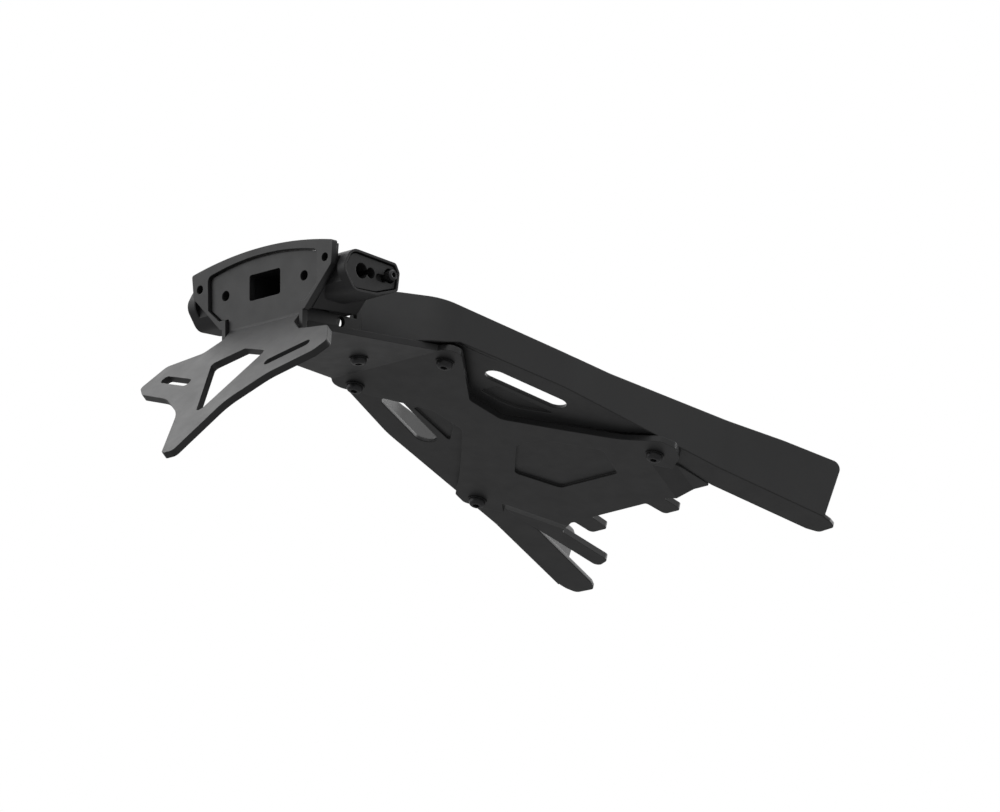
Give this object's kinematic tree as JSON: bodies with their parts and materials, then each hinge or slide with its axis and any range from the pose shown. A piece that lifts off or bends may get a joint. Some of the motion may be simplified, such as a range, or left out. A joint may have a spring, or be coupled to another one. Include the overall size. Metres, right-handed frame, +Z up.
{
  "type": "motorcycle tail tidy",
  "caption": "Folded black sheet-metal tray with upright side panels, a forked number plate bracket and a cross bar with indicator sockets; bolts under a motorcycle's seat unit.",
  "frame": {"origin": "middle of the four fixing bolts, in the plane of their seats on the centre plate's lower face", "axes": "+X to the bike's right, +Y forward, +Z up, as the part hangs on the bike"},
  "size_m": [0.2358, 0.4731, 0.1497],
  "materials": {
    "black_sheet": "satin black powder coat",
    "black_plastic": "matt moulded",
    "black_steel": "black oxide"
  },
  "bodies": {
    "root": {"backing_plate": "black_sheet", "bolt_washers": "black_steel", "centre_plate": "black_sheet", "clamp_screws": "black_steel", "left_front_bolt": "black_steel", "left_rear_bolt": "black_steel", "left_side_panel": "black_sheet", "left_socket_cap": "black_plastic", "neck_bolt": "black_steel", "neck_bracket": "black_sheet", "neck_nut": "black_steel", "neck_screws": "black_steel", "plate_bracket": "black_sheet", "rear_frame": "black_sheet", "right_front_bolt": "black_steel", "right_rear_bolt": "black_steel", "right_side_panel": "black_sheet", "right_socket_cap": "black_plastic", "side_panel_bushes": "black_steel", "tail_block": "black_plastic"}
  },
  "joints": []
}
